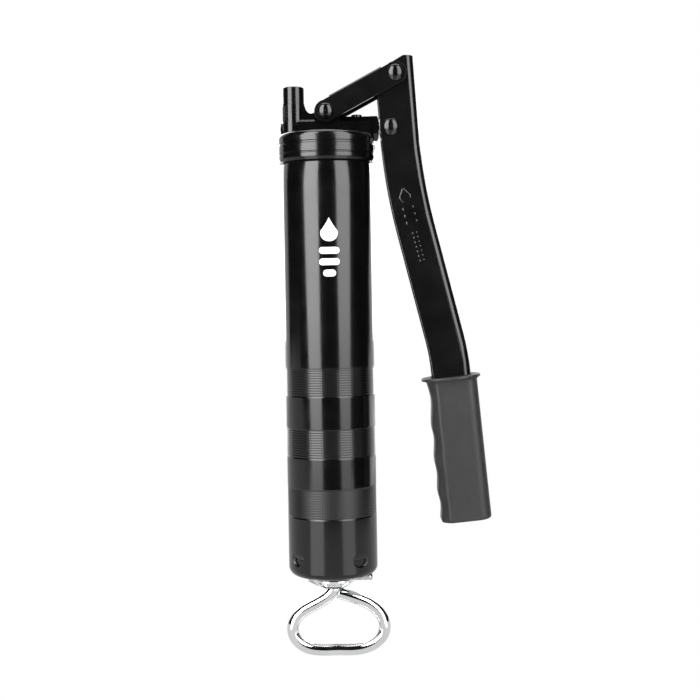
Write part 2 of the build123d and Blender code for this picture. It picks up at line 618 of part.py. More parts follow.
# ---- write every sub-part -----------------------------------------------------------------
NODES = [barrel_tube, spring_seat, rod_guide, rod_seal, follower_spring, rod_latch_plate, follower_cup,
         follower_plate, follower_washer, follower_rod, rod_tip_nut, rod_clip, head_gasket, pump_head,
         outlet_fitting, check_ball, check_spring, plunger_seal, gland_nut, bore_plug, bore_plug_washer,
         bulk_fill_fitting, bleed_valve_body, bleed_pin, toggle_link, link_head_rivet, link_lever_rivet,
         lever, plunger_rivet, plunger_rod, lever_grip]

for make in NODES:
    save(make(), make.__name__)
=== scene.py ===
"""Looks of a lever grease gun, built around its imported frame.

Lengths are in metres in the row frame: +Z along the barrel towards the head, +X towards the lever,
-Y towards the front. MM turns millimetres into metres.
"""
import json
import math

import bmesh
import bpy
from mathutils import Matrix, Vector


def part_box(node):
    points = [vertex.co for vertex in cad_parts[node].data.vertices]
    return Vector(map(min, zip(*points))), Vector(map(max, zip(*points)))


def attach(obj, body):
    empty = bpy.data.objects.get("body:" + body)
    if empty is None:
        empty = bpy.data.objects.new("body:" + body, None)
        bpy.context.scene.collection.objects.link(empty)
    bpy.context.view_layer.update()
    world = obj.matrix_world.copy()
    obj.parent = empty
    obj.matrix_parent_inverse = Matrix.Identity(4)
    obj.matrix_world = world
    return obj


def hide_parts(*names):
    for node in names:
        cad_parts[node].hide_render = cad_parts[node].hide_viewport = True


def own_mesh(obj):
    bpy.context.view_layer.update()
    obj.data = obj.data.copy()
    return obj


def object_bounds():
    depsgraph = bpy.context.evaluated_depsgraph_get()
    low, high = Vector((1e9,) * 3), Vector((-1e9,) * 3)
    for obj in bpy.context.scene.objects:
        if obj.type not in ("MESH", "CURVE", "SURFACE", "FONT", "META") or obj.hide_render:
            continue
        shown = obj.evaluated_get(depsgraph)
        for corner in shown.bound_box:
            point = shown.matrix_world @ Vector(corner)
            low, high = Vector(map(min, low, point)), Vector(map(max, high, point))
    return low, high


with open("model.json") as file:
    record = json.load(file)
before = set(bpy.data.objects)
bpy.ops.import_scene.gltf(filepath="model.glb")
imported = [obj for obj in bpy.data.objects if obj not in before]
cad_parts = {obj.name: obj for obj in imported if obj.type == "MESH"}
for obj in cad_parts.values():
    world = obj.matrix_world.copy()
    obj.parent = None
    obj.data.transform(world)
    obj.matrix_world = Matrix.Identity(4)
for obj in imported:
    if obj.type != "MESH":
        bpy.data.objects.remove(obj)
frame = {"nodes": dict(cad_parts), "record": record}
cad_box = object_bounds()

MM = 0.001
WHITE = (1, 1, 1, 1)
SCENE = bpy.context.scene


# ---- small helpers ------------------------------------------------------------------------
def lerp(a, b, t):
    return a + (b - a) * t


def smoothstep(low, high, x):
    t = min(1.0, max(0.0, (x - low) / (high - low)))
    return t * t * (3 - 2 * t)


def new_object(name, verts, faces, smooth=True):
    """A mesh object from vertices and faces, with its normals made consistent."""
    mesh = bpy.data.meshes.new(name)
    mesh.from_pydata([tuple(v) for v in verts], [], faces)
    mesh.validate()
    bm = bmesh.new()
    bm.from_mesh(mesh)
    bmesh.ops.recalc_face_normals(bm, faces=bm.faces)
    bm.to_mesh(mesh)
    bm.free()
    mesh.polygons.foreach_set("use_smooth", [smooth] * len(mesh.polygons))
    obj = bpy.data.objects.new(name, mesh)
    SCENE.collection.objects.link(obj)
    return obj


def ring_faces(rings, count, loop=False):
    """Quads between rings of count points each, with one polygon at each end unless they form a loop."""
    faces = []
    spans = range(rings) if loop else range(rings - 1)
    for i in spans:
        a = i * count
        b = ((i + 1) % rings) * count
        for j in range(count):
            k = (j + 1) % count
            faces.append((a + j, a + k, b + k, b + j))
    if not loop:
        faces.append(tuple(range(count - 1, -1, -1)))
        faces.append(tuple(range((rings - 1) * count, rings * count)))
    return faces


def sweep(name, path, radii, sides):
    """A round bar along a list of points, with one radius for each point."""
    verts = []
    count = len(path)
    normal = None
    for i, p in enumerate(path):
        ahead = path[min(i + 1, count - 1)]
        behind = path[max(i - 1, 0)]
        tangent = (ahead - behind).normalized()
        if normal is None:
            normal = Vector((0, 1, 0))
            if abs(tangent.y) > 0.9:
                normal = Vector((1, 0, 0))
        normal = (normal - tangent * normal.dot(tangent)).normalized()
        side = tangent.cross(normal)
        for j in range(sides):
            a = 2 * math.pi * j / sides
            verts.append(p + (normal * math.cos(a) + side * math.sin(a)) * radii[i])
    return new_object(name, verts, ring_faces(count, sides))


def place(obj, body, slot, material, *nodes):
    """Lets a new piece ride on its body and stand for its CAD nodes."""
    obj.data.materials.clear()
    obj.data.materials.append(material)
    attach(obj, body)
    if nodes:
        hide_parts(*nodes)
    return obj


# ---- materials ----------------------------------------------------------------------------
class Shader:
    """One Principled material with short calls for the procedural nodes that feed it."""

    def __init__(self, name, color, roughness, metallic=0.0, **constants):
        self.material = bpy.data.materials.new(name)
        self.material.use_nodes = True
        self.tree = self.material.node_tree
        self.surface = self.tree.nodes["Principled BSDF"]
        self.surface.inputs["Base Color"].default_value = (*color, 1)
        self.surface.inputs["Roughness"].default_value = roughness
        self.surface.inputs["Metallic"].default_value = metallic
        for key, value in constants.items():
            self.surface.inputs[key.replace("_", " ")].default_value = value
        self.place = self.tree.nodes.new("ShaderNodeTexCoord").outputs["Object"]
        self.normal = None

    def link(self, a, b):
        self.tree.links.new(a, b)

    def scaled(self, factors):
        """Object coordinates stretched along each axis."""
        node = self.tree.nodes.new("ShaderNodeMapping")
        node.inputs["Scale"].default_value = factors
        self.link(self.place, node.inputs["Vector"])
        return node.outputs["Vector"]

    def noise(self, scale, detail=2.0, roughness=0.5, stretch=None):
        node = self.tree.nodes.new("ShaderNodeTexNoise")
        node.inputs["Scale"].default_value = scale
        node.inputs["Detail"].default_value = detail
        node.inputs["Roughness"].default_value = roughness
        self.link(self.scaled(stretch) if stretch else self.place, node.inputs["Vector"])
        return node.outputs["Fac"]

    def span(self, value, low, high, start=0.3, end=0.7):
        """Turns a noise value into the range low to high."""
        node = self.tree.nodes.new("ShaderNodeMapRange")
        node.inputs["From Min"].default_value = start
        node.inputs["From Max"].default_value = end
        node.inputs["To Min"].default_value = low
        node.inputs["To Max"].default_value = high
        self.link(value, node.inputs["Value"])
        return node.outputs["Result"]

    def vary_roughness(self, scale, low, high):
        self.link(self.span(self.noise(scale, 3.0), low, high), self.surface.inputs["Roughness"])

    def vary_color(self, value, color_a, color_b):
        node = self.tree.nodes.new("ShaderNodeMix")
        node.data_type = "RGBA"
        node.inputs["A"].default_value = (*color_a, 1)
        node.inputs["B"].default_value = (*color_b, 1)
        self.link(value, node.inputs["Factor"])
        self.link(node.outputs["Result"], self.surface.inputs["Base Color"])

    def bump(self, height, strength, distance):
        node = self.tree.nodes.new("ShaderNodeBump")
        node.inputs["Strength"].default_value = strength
        node.inputs["Distance"].default_value = distance
        self.link(height, node.inputs["Height"])
        if self.normal:
            self.link(self.normal, node.inputs["Normal"])
        self.normal = node.outputs["Normal"]
        self.link(self.normal, self.surface.inputs["Normal"])


def gloss_paint(name, color, roughness, cast=0.0):
    """Stove enamel: a clear gloss over fine orange peel, with an uneven cast skin if asked for."""
    shader = Shader(name, color, roughness, Specular_IOR_Level=0.5)
    shader.vary_roughness(90.0, roughness * 0.85, roughness * 1.2)
    tone = [c * 1.6 for c in color]
    shader.vary_color(shader.span(shader.noise(45.0, 4.0), 0.0, 1.0), color, tone)
    shader.bump(shader.noise(420.0, 1.5), 0.10, 0.00006)
    shader.bump(shader.noise(60.0, 1.0), 0.05, 0.0002)
    if cast:
        shader.bump(shader.noise(900.0, 4.0, 0.6), cast, 0.0002)
        shader.bump(shader.noise(180.0, 3.0), cast, 0.0006)
    return shader.material


def plated(name, color, roughness, brush=0.03):
    """Bright plating over drawn or turned steel."""
    shader = Shader(name, color, roughness, metallic=1.0)
    shader.vary_roughness(160.0, roughness * 0.6, roughness * 1.5)
    cloud = shader.span(shader.noise(70.0, 4.0), 0.0, 1.0)
    shader.vary_color(cloud, [c * 0.9 for c in color], color)
    shader.bump(shader.noise(500.0, 3.0, stretch=(1, 1, 0.15)), brush, 0.0001)
    return shader.material


def plated_bell(name, color, dark, radius):
    """Bright plating with a dark, polished hollow inside radius metres of the barrel's axis."""
    material = plated(name, color, 0.07, brush=0.01)
    nodes = material.node_tree.nodes
    links = material.node_tree.links
    split = nodes.new("ShaderNodeSeparateXYZ")
    flat = nodes.new("ShaderNodeCombineXYZ")
    length = nodes.new("ShaderNodeVectorMath")
    length.operation = "LENGTH"
    inside = nodes.new("ShaderNodeMapRange")
    inside.inputs["From Min"].default_value = radius
    inside.inputs["From Max"].default_value = radius + 0.0003
    mix = nodes.new("ShaderNodeMix")
    mix.data_type = "RGBA"
    mix.inputs["A"].default_value = (*dark, 1)
    mix.inputs["B"].default_value = (*color, 1)
    links.new(nodes.new("ShaderNodeTexCoord").outputs["Object"], split.inputs["Vector"])
    links.new(split.outputs["X"], flat.inputs["X"])
    links.new(split.outputs["Y"], flat.inputs["Y"])
    links.new(flat.outputs["Vector"], length.inputs[0])
    links.new(length.outputs["Value"], inside.inputs["Value"])
    links.new(inside.outputs["Result"], mix.inputs["Factor"])
    links.new(mix.outputs["Result"], nodes["Principled BSDF"].inputs["Base Color"])
    return material


def turned_steel(name, color, roughness):
    """Machined or rolled steel with fine rings and a film of oil."""
    shader = Shader(name, color, roughness, metallic=1.0)
    shader.vary_roughness(120.0, roughness * 0.7, roughness * 1.35)
    cloud = shader.span(shader.noise(50.0, 4.0), 0.0, 1.0)
    shader.vary_color(cloud, [c * 0.75 for c in color], color)
    shader.bump(shader.noise(900.0, 2.0, stretch=(0.2, 0.2, 3)), 0.12, 0.0001)
    return shader.material


def rubber(name, color, roughness, grain, depth):
    """Moulded rubber or soft PVC with a fine spark-eroded grain."""
    shader = Shader(name, color, roughness, Specular_IOR_Level=0.42)
    shader.vary_roughness(220.0, roughness * 0.88, roughness * 1.12)
    patches = shader.span(shader.noise(38.0, 4.0), 0.0, 1.0)
    shader.vary_color(patches, [c * 0.88 for c in color], [c * 1.1 for c in color])
    shader.bump(shader.noise(grain, 3.0, 0.6), depth, 0.00025)
    shader.bump(shader.noise(grain * 0.2, 2.0), depth * 0.5, 0.0006)
    return shader.material


def printed_ink(name, color):
    """Screen-printed ink, slightly uneven."""
    shader = Shader(name, color, 0.34)
    shader.vary_color(shader.span(shader.noise(300.0, 3.0), 0.0, 1.0), [c * 0.94 for c in color], color)
    shader.bump(shader.noise(1500.0, 2.0), 0.1, 0.00005)
    return shader.material


BLACK = (0.0012, 0.0012, 0.0013)
CHROME = (0.90, 0.905, 0.91)
MATERIALS = {
    "barrel_paint": gloss_paint("barrel_enamel", BLACK, 0.15),
    "head_paint": gloss_paint("head_enamel", BLACK, 0.16, cast=0.10),
    "lever_paint": gloss_paint("lever_enamel", (0.0022, 0.0022, 0.0024), 0.17),
    "rivet_paint": gloss_paint("rivet_enamel", BLACK, 0.13),
    "dark_fitting": gloss_paint("black_oxide", (0.012, 0.012, 0.013), 0.3),
    "chrome_plate": plated("chrome", CHROME, 0.07, brush=0.008),
    "zinc_plate": plated("zinc", (0.66, 0.67, 0.69), 0.24, brush=0.08),
    "bright_steel": turned_steel("ground_steel", (0.60, 0.60, 0.61), 0.16),
    "spring_steel": turned_steel("oiled_spring_steel", (0.24, 0.23, 0.23), 0.3),
    "nitrile": rubber("nitrile_rubber", (0.014, 0.014, 0.015), 0.5, 1100.0, 0.2),
    "grip_pvc": rubber("grip_vinyl", (0.0155, 0.0155, 0.016), 0.46, 1500.0, 0.35),
    "white_print": printed_ink("white_ink", (0.86, 0.86, 0.86)),
}
BELL_MATERIAL = plated_bell("chrome_bell", CHROME, (0.07, 0.07, 0.072), 0.0103)


# ---- CAD nodes that stay ------------------------------------------------------------------
EDGE_ROUNDING = {           # radius in mm worn into each node's sharp edges
    "pump_head": 0.55, "outlet_fitting": 0.35, "gland_nut": 0.3, "bore_plug": 0.2, "lever": 0.35,
    "toggle_link": 0.4, "rod_guide": 0.3, "rod_latch_plate": 0.35, "plunger_rod": 0.3, "spring_seat": 0.3,
    "bulk_fill_fitting": 0.2, "bleed_valve_body": 0.25, "bleed_pin": 0.2, "rod_tip_nut": 0.25,
    "follower_plate": 0.3, "follower_washer": 0.2, "follower_cup": 0.25,
}


def finish_cad_nodes():
    """Gives every CAD node its material, and rounds its sharp edges with modifiers."""
    slots = {s["node"]: s["material_slot"] for s in frame["record"]["subparts"]}
    for name, obj in frame["nodes"].items():
        obj.data.materials.clear()
        obj.data.materials.append(BELL_MATERIAL if name == "rod_guide" else MATERIALS[slots[name]])
        obj.data.polygons.foreach_set("use_smooth", [True] * len(obj.data.polygons))
        weld = obj.modifiers.new("weld", "WELD")
        weld.merge_threshold = 0.002 * MM
        if name in EDGE_ROUNDING:
            flat = obj.modifiers.new("flat_faces", "DECIMATE")
            flat.decimate_type = "DISSOLVE"
            flat.angle_limit = math.radians(0.5)
            bevel = obj.modifiers.new("edges", "BEVEL")
            bevel.width = EDGE_ROUNDING[name] * MM
            bevel.segments = 3
            bevel.limit_method = "ANGLE"
            bevel.angle_limit = math.radians(32)
            bevel.use_clamp_overlap = True
        normals = obj.modifiers.new("normals", "WEIGHTED_NORMAL")
        normals.keep_sharp = True


# ---- barrel -------------------------------------------------------------------------------
BARREL = {
    "r": 28.5, "inner_r": 27.0, "top": 73.5, "bottom": -198.3, "corner": 5.5, "neck_r": 6.2,
    "thread_low": 64.6, "thread_r": 28.2, "thread_depth": 0.7, "thread_pitch": 2.0,
}
KNURL_BANDS = [(-83.0, -65.0, 0.25), (-121.8, -103.2, 0.25), (-159.9, -140.7, 1.0)]   # and column depth
KNURL_ROW = 1.55
KNURL_COLUMNS = 115
KNURL_DEPTH = 0.42
DIMPLE_Z = -186.6
DIMPLE_ANGLES = [-51.0, 39.0, 129.0, 219.0]     # from -Y towards +X
DIMPLE_WIDTH = 5.4          # from its middle to one side, along the wall
DIMPLE_DEPTH = 4.4
DIMPLE_LIP = 3.6            # how far the lower lip hangs below the dimple's middle
AROUND = 4 * KNURL_COLUMNS


def knurl(z, turn):
    """How far the knurl cuts in at height z and share turn of the way round."""
    for low, high, columns in KNURL_BANDS:
        if low <= z <= high:
            edge = smoothstep(low, low + 0.5, z) * smoothstep(high, high - 0.5, z)
            row = 0.5 - 0.5 * math.cos(2 * math.pi * (z - low) / KNURL_ROW)
            column = 0.5 - 0.5 * math.cos(2 * math.pi * turn * KNURL_COLUMNS)
            return KNURL_DEPTH * edge * (0.12 + 0.88 * max(row, columns * column))
    return 0.0


def dimple(z, angle_deg):
    """How far a staked dimple is pushed in: a steep lower lip under a long, soft slope."""
    for centre in DIMPLE_ANGLES:
        off = (angle_deg - centre + 180) % 360 - 180
        u = math.radians(off) * BARREL["r"] / DIMPLE_WIDTH
        v = z - DIMPLE_Z
        if abs(u) >= 1 or not -5 < v < 7:
            continue
        across = math.sqrt(1 - u * u)
        lip = -DIMPLE_LIP * across
        slope = max(0.0, 1 - (v - lip) / (3.0 + 5.5 * across))
        return DIMPLE_DEPTH * across ** 0.7 * smoothstep(lip, lip + 0.5, v) * slope ** 1.7
    return 0.0


def thread(z, turn):
    """How far the rolled thread cuts in near the barrel's open end."""
    if z < BARREL["thread_low"]:
        return 0.0
    phase = (z / BARREL["thread_pitch"] - turn) % 1.0
    groove = 1 - abs(2 * phase - 1)
    fade = smoothstep(BARREL["thread_low"], BARREL["thread_low"] + 1.0, z)
    return BARREL["r"] - BARREL["thread_r"] + BARREL["thread_depth"] * groove * fade


def barrel_stations():
    """Heights of the barrel's rings from the open end down to the start of the bottom corner."""
    stations = []

    def run(start, stop, step):
        count = max(1, round(abs(stop - start) / step))
        stations.extend(lerp(start, stop, i / count) for i in range(count))

    run(BARREL["top"], BARREL["thread_low"] - 0.3, 0.5)
    run(BARREL["thread_low"] - 0.3, KNURL_BANDS[0][1] + 0.6, 16)
    for i, (low, high, _) in enumerate(KNURL_BANDS):
        run(high + 0.6, high, 0.3)
        run(high, low, KNURL_ROW / 5)
        run(low, low - 0.6, 0.3)
        below = KNURL_BANDS[i + 1][1] + 0.6 if i + 1 < len(KNURL_BANDS) else DIMPLE_Z + 6
        run(low - 0.6, below, 8)
    run(DIMPLE_Z + 6, DIMPLE_Z - 5.8, 0.4)
    return stations


def make_barrel():
    """Drawn tube with its knurl, dimples, rolled thread, rounded bottom and inner wall."""
    r = BARREL["r"]
    corner = BARREL["corner"]
    wall = r - BARREL["inner_r"]
    rings = [(z, r, True) for z in barrel_stations()]
    steps = 14
    for i in range(steps + 1):
        a = math.pi / 2 * i / steps
        rings.append((BARREL["bottom"] + corner * (1 - math.sin(a)),
                      r - corner * (1 - math.cos(a)), False))
    rings += [(BARREL["bottom"], 15.0, False), (BARREL["bottom"], BARREL["neck_r"], False)]
    rings += [(BARREL["bottom"] + wall, BARREL["neck_r"], False)]
    inner_corner = corner - wall
    for i in range(steps, -1, -1):
        a = math.pi / 2 * i / steps
        rings.append((BARREL["bottom"] + wall + inner_corner * (1 - math.sin(a)),
                      BARREL["inner_r"] - inner_corner * (1 - math.cos(a)), False))
    rings += [(z, BARREL["inner_r"], False) for z in (-150.0, -100.0, -50.0, 0.0, 40.0)]
    rings += [(BARREL["top"] - 0.2, BARREL["inner_r"], False)]
    rings += [(BARREL["top"], BARREL["inner_r"] + 0.2, False)]
    verts = []
    for z, radius, outer in rings:
        for j in range(AROUND):
            turn = j / AROUND
            cut = knurl(z, turn) + dimple(z, 360 * turn) + thread(z, turn) if outer else 0.0
            a = 2 * math.pi * turn
            here = (radius - cut) * MM
            verts.append((here * math.sin(a), -here * math.cos(a), z * MM))
    return new_object("barrel_shell", verts, ring_faces(len(rings), AROUND, loop=True))


# ---- printed mark -------------------------------------------------------------------------
MARK_X_DEG = 2.6            # where the mark's middle lies, from -Y towards +X
MARK_TOP = 29.0
MARK_LIFT = 0.03
MARK_THICK = 0.05
MARK_BAR = 4.2
LEVER_HALF_Y = 9.5
LEVER_MARK_START = (47.8, -LEVER_HALF_Y, 49.0)
LEVER_MARK_ALONG = (0.243, 0, -0.970)       # down the middle of the lever's front flat
LEVER_MARK_RAISE = 0.35
LEVER_MARK_FLANK = 0.7      # width of the sloping flank round each raised patch


def drop_half_width(t, width):
    """Half width of a drop at share t of the way from its point to its round end."""
    round_part = math.sqrt(max(0.0, 1 - ((t - 0.66) / 0.34) ** 2)) if t > 0.4 else 0.0
    cone = 0.86 * (t / 0.52) ** 1.25
    return width / 2 * (round_part if t > 0.52 else min(cone, 1.0))


def bar_half_width(t, width, height):
    """Half width of a bar with fully rounded ends, at share t of its height."""
    half = height / 2
    return width / 2 - half + math.sqrt(max(0.0, half ** 2 - (t * height - half) ** 2))


def mark_patches():
    """Each patch of the mark as its top, its height and its half width as a function of height."""
    patches = [(0.0, 15.0, lambda t: drop_half_width(t, 11.0))]
    for top, width in ((18.5, 13.0), (25.5, 13.0), (32.5, 8.0)):
        patches.append((top, MARK_BAR, lambda t, w=width: bar_half_width(t, w, MARK_BAR)))
    return patches


def make_mark():
    """A plain drop over three bars, printed on the front of the barrel."""
    verts = []
    faces = []
    rows = 24
    across = 12
    radius = BARREL["r"] + MARK_LIFT
    for top, height, half_width in mark_patches():
        start = len(verts)
        for i in range(rows + 1):
            t = lerp(0.002, 0.998, i / rows)
            half = max(half_width(t), 0.02)
            for j in range(across + 1):
                u = lerp(-half, half, j / across)
                a = math.radians(MARK_X_DEG) + u / radius
                z = MARK_TOP - top - height * t
                verts.append((radius * MM * math.sin(a), -radius * MM * math.cos(a), z * MM))
        for i in range(rows):
            for j in range(across):
                a = start + i * (across + 1) + j
                faces.append((a, a + 1, a + across + 2, a + across + 1))
    obj = new_object("barrel_mark", verts, faces)
    thick = obj.modifiers.new("thickness", "SOLIDIFY")
    thick.thickness = MARK_THICK * MM
    thick.offset = 0.0
    return obj


def make_lever_mark():
    """The same plain drop and bars, raised a little on the lever's front flat."""
    verts = []
    faces = []
    along = Vector(LEVER_MARK_ALONG)
    side = Vector((-along.z, 0, along.x))
    start_at = Vector(LEVER_MARK_START)
    patches = [(0.0, 11.0, lambda t: drop_half_width(t, 7.6))]
    patches += [(top, 2.4, lambda t: bar_half_width(t, 7.6, 2.4)) for top in (13.5, 18.0, 22.5)]
    patches += [(top, 1.5, lambda t: bar_half_width(t, 3.6, 1.5)) for top in range(30, 50, 3)]
    for top, height, half_width in patches:
        start = len(verts)
        rows = 20
        for i in range(rows + 1):
            t = lerp(0.004, 0.996, i / rows)
            half = max(half_width(t), 0.05)
            for level, inset in ((0.0, 0.0), (LEVER_MARK_RAISE, LEVER_MARK_FLANK)):
                for sign in (-1, 1):
                    out = max(half - inset, 0.25 * half) * sign
                    run = start_at + along * (top + height * t) + side * out
                    verts.append((run + Vector((0, 0.05 - level, 0))) * MM)
        for i in range(rows):
            a = start + 4 * i
            for j, k in ((0, 2), (2, 3), (3, 1), (1, 0)):
                faces.append((a + j, a + k, a + 4 + k, a + 4 + j))
        faces.append((start, start + 1, start + 3, start + 2))
        last = start + 4 * rows
        faces.append((last, last + 2, last + 3, last + 1))
    return new_object("lever_mark", verts, faces, smooth=False)


# ---- grip ---------------------------------------------------------------------------------
GRIP = {
    "top": (77.3, -72.5), "tilt": 5.2, "length": 93.0,
    "half_y": 12.5, "back": 16.3, "edge": -10.4, "nose": 7.4,
}
GRIP_FRONT = [(0.0, -15.8), (13.8, -13.95), (30.6, -15.45), (38.9, -14.6), (52.4, -15.9), (62.1, -15.05),
              (73.0, -15.95), (82.1, -14.8), (93.0, -15.8)]     # finger waves: down the grip, and u
GRIP_POINTS = 128
# corners (u, y, radius) of the flange and of the pocket that the lever sits in
FLANGE = [(19.09, 16.49, 16.3), (-18.89, 16.49, 16.3), (-18.89, -16.49, 16.3), (19.09, -16.49, 16.3)]
POCKET = [(13.3, 9.8, 5.0), (-11.9, 9.8, 0.6), (-11.9, -9.8, 0.6), (13.3, -9.8, 5.0)]
POCKET_DEPTH = 16.0
FLANGE_THICK = 2.0
END_ROUNDING = 2.2
GRIP_CORNER_R = 7.0
GRIP_CENTRE_U = 1.0         # the sections are sampled round this point


def grip_point(u, y, w):
    """A point of the grip: u towards its back, w down its length."""
    tilt = math.radians(GRIP["tilt"])
    x = GRIP["top"][0] + u * math.cos(tilt) + w * math.sin(tilt)
    z = GRIP["top"][1] + u * math.sin(tilt) - w * math.cos(tilt)
    return Vector((x, y, z)) * MM


def rounded(corners, steps=7):
    """A closed outline through corners (u, y, radius), each corner an arc."""
    outline = []
    count = len(corners)
    for i, (u, y, radius) in enumerate(corners):
        here = Vector((u, y))
        before = Vector(corners[i - 1][:2]) - here
        after = Vector(corners[(i + 1) % count][:2]) - here
        before.normalize()
        after.normalize()
        half = before.angle(after) / 2
        centre = here + (before + after).normalized() * (radius / math.sin(half))
        start = here + before * (radius / math.tan(half)) - centre
        stop = here + after * (radius / math.tan(half)) - centre
        first = math.atan2(start.y, start.x)
        swing = (math.atan2(stop.y, stop.x) - first + math.pi) % (2 * math.pi) - math.pi
        for k in range(steps + 1):
            a = first + swing * k / steps
            outline.append(centre + Vector((math.cos(a), math.sin(a))) * radius)
    return outline


def by_angle(outline):
    """The same outline sampled at GRIP_POINTS even angles round a centre on its middle line."""
    points = []
    centre = Vector((GRIP_CENTRE_U, 0))
    for i in range(GRIP_POINTS):
        a = 2 * math.pi * (i + 0.5) / GRIP_POINTS
        ray = Vector((math.cos(a), math.sin(a)))
        best = None
        for j, p in enumerate(outline):
            edge_start = p - centre
            edge = outline[(j + 1) % len(outline)] - p
            cross = ray.x * edge.y - ray.y * edge.x
            if abs(cross) < 1e-12:
                continue
            reach = (edge_start.x * edge.y - edge_start.y * edge.x) / cross
            share = (edge_start.x * ray.y - edge_start.y * ray.x) / cross
            if reach > 0 and -1e-9 <= share <= 1 + 1e-9:
                best = reach if best is None else max(best, reach)
        points.append(centre + ray * best)
    return points


def grip_outline(w, inset=0.0):
    """The sleeve's section at w down its length."""
    for (w0, u0), (w1, u1) in zip(GRIP_FRONT, GRIP_FRONT[1:]):
        if w <= w1:
            front = lerp(u0, u1, smoothstep(w0, w1, w)) + inset
            break
    half = GRIP["half_y"] - inset
    back = GRIP["back"] - inset
    edge = GRIP["edge"] + 0.4 * inset
    nose = GRIP["nose"] - 0.6 * inset
    corners = [(back, half, GRIP_CORNER_R), (edge, half, 3.0), (front, nose, 2.2),
               (front, -nose, 2.2), (edge, -half, 3.0), (back, -half, GRIP_CORNER_R)]
    return by_angle(rounded(corners))


def make_grip():
    """Moulded sleeve: flange, finger waves, rounded end, and the pocket the lever sits in."""
    centre = Vector((GRIP_CENTRE_U, 0))
    rim = by_angle(rounded(FLANGE, 20))
    pocket = by_angle(rounded(POCKET))

    def shrunk(points, amount):
        return [p - (p - centre).normalized() * amount for p in points]

    rings = [(pocket, POCKET_DEPTH), (pocket, 4.0), (pocket, 0.5), (shrunk(pocket, -0.35), 0.1)]
    rings += [(shrunk(pocket, -0.8), 0.0), (shrunk(rim, 0.8), 0.0), (shrunk(rim, 0.3), 0.12)]
    rings += [(shrunk(rim, 0.06), 0.4), (rim, 0.8), (rim, 1.3), (shrunk(rim, 0.08), 1.7)]
    rings += [(shrunk(rim, 0.4), 1.95)]
    neck = grip_outline(FLANGE_THICK)
    rings += [(shrunk(neck, -1.2), 2.05), (shrunk(neck, -0.5), 2.3), (shrunk(neck, -0.1), 2.9)]
    w = 3.6
    end = GRIP["length"]
    while w < end - 2.6:
        rings.append((grip_outline(w), w))
        w += 1.25
    for i in range(7):
        a = math.pi / 2 * i / 6
        inset = END_ROUNDING * (1 - math.cos(a))
        rings.append((grip_outline(end, inset), end - END_ROUNDING * (1 - math.sin(a))))
    rings.append(([centre + (p - centre) * 0.6 for p in rings[-1][0]], end))
    verts = []
    for outline, w in rings:
        verts.extend(grip_point(p.x, p.y, w) for p in outline)
    return new_object("grip_sleeve", verts, ring_faces(len(rings), GRIP_POINTS))


# ---- rod and loop -------------------------------------------------------------------------
ROD_R = 3.75
THREAD_R = 3.0
CLIP_GROOVE_R = 2.85
LATCH_NOTCH_R = 3.1
LOOP = [(0.0, -204.0), (-0.3, -208.8), (-3.2, -213.1), (-9.0, -217.2), (-15.5, -220.6), (-20.9, -223.9),
        (-25.0, -228.3), (-26.8, -233.8), (-25.8, -239.4), (-22.6, -243.6), (-17.6, -246.7), (-11.5, -248.1),
        (2.0, -248.3), (15.0, -248.2), (22.3, -246.4), (28.4, -242.6), (31.8, -237.6), (32.3, -231.8),
        (29.6, -225.3), (24.2, -220.0), (17.0, -216.4), (9.3, -213.6), (3.4, -211.7)]


def smooth_through(points, per_span):
    """Points along a smooth curve that passes through the given (x, z) points."""
    curve = bpy.data.curves.new("guide", "CURVE")
    curve.dimensions = "3D"
    curve.resolution_u = per_span
    spline = curve.splines.new("BEZIER")
    spline.bezier_points.add(len(points) - 1)
    for knot, (x, z) in zip(spline.bezier_points, points):
        knot.co = (x * MM, 0, z * MM)
        knot.handle_left_type = "AUTO"
        knot.handle_right_type = "AUTO"
    guide = bpy.data.objects.new("guide", curve)
    SCENE.collection.objects.link(guide)
    bpy.context.view_layer.update()
    mesh = bpy.data.meshes.new_from_object(guide)
    path = [v.co.copy() for v in mesh.vertices]
    bpy.data.objects.remove(guide)
    bpy.data.meshes.remove(mesh)
    return path


def make_rod():
    """Drawn rod with its threaded tip, clip groove and latch notch, bent into a closed pull loop."""
    tip = [(59.0, 2.5), (58.6, THREAD_R)]
    tip += [(58.4 - 0.25 * i, THREAD_R - 0.3 * (i % 2)) for i in range(17)]
    tip += [(54.05, THREAD_R), (54.0, ROD_R)]
    tip += [(47.81, ROD_R), (47.8, CLIP_GROOVE_R), (45.81, CLIP_GROOVE_R), (45.8, ROD_R)]
    tip += [(17.2, ROD_R), (17.0, LATCH_NOTCH_R), (14.0, LATCH_NOTCH_R), (13.8, ROD_R)]
    tip += [(z, ROD_R) for z in (-30.0, -80.0, -130.0, -180.0, -200.0)]
    path = [Vector((0, 0, z * MM)) for z, _ in tip]
    radii = [r * MM for _, r in tip]
    bend = smooth_through(LOOP, 7)
    path += bend
    radii += [ROD_R * MM] * len(bend)
    last = (path[-1] - path[-2]).normalized()
    for out, r in ((0.25, ROD_R - 0.08), (0.45, ROD_R - 0.4)):
        path.append(path[-1] + last * out * MM)
        radii.append(r * MM)
    obj = sweep("pull_rod", path, radii, sides=40)
    obj.modifiers.new("normals", "WEIGHTED_NORMAL")
    return obj


